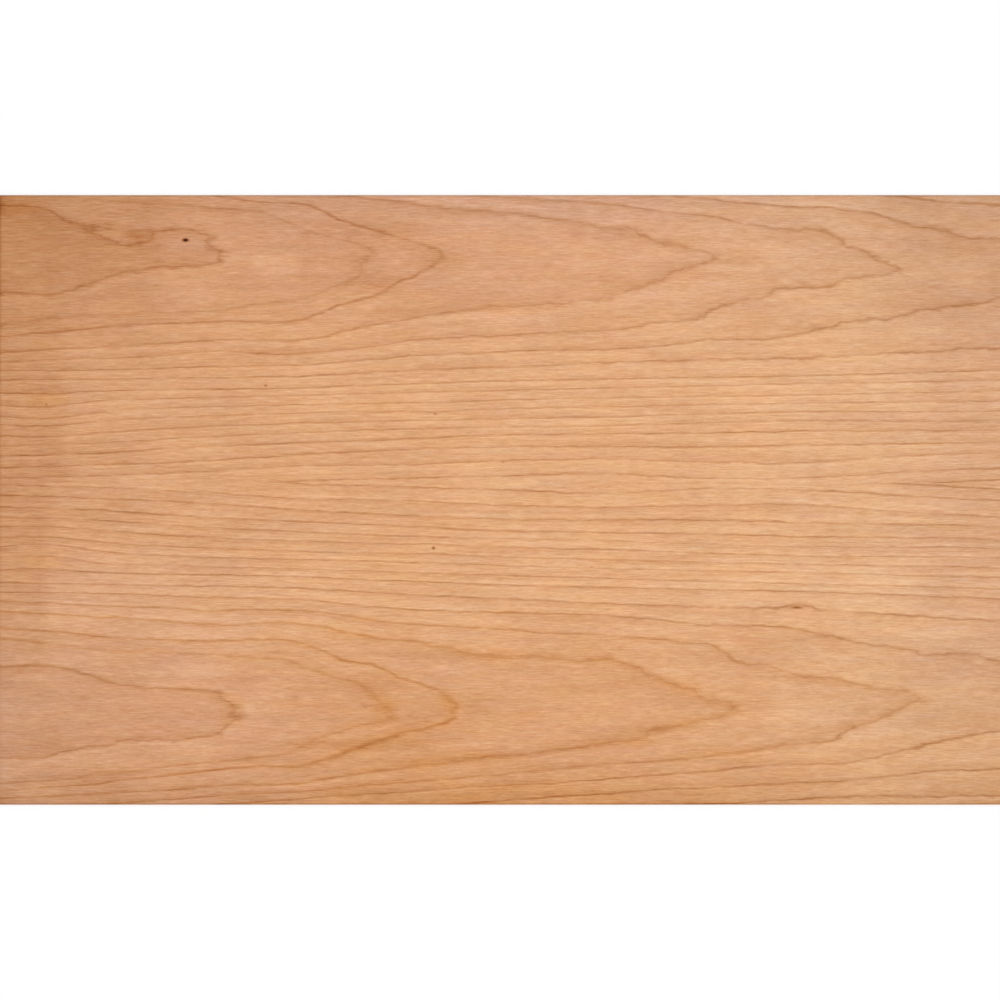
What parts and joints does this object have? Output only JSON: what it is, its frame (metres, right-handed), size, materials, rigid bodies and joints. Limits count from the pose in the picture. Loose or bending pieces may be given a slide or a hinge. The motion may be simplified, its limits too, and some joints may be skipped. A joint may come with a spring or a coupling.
{
  "type": "wood veneer sheet",
  "caption": "Flat rectangular sheet of sliced cherry veneer, book-matched leaves spliced along the grain, bonded by its back face.",
  "frame": {"origin": "centre of the sheet, on its lower (glue) face", "axes": "+X along the grain, towards the end that the flame-figure tips point to; +Y across the grain, from the wide leaf to the narrow leaf; +Z out of the show face"},
  "size_m": [0.61, 0.305, 0.0006],
  "materials": {
    "cherry_narrow_leaf": "raw sliced cherry, unfinished, matt",
    "cherry_wide_leaf": "raw sliced cherry, unfinished, matt"
  },
  "bodies": {
    "root": {"narrow_leaf": "cherry_narrow_leaf", "wide_leaf": "cherry_wide_leaf"}
  },
  "joints": []
}
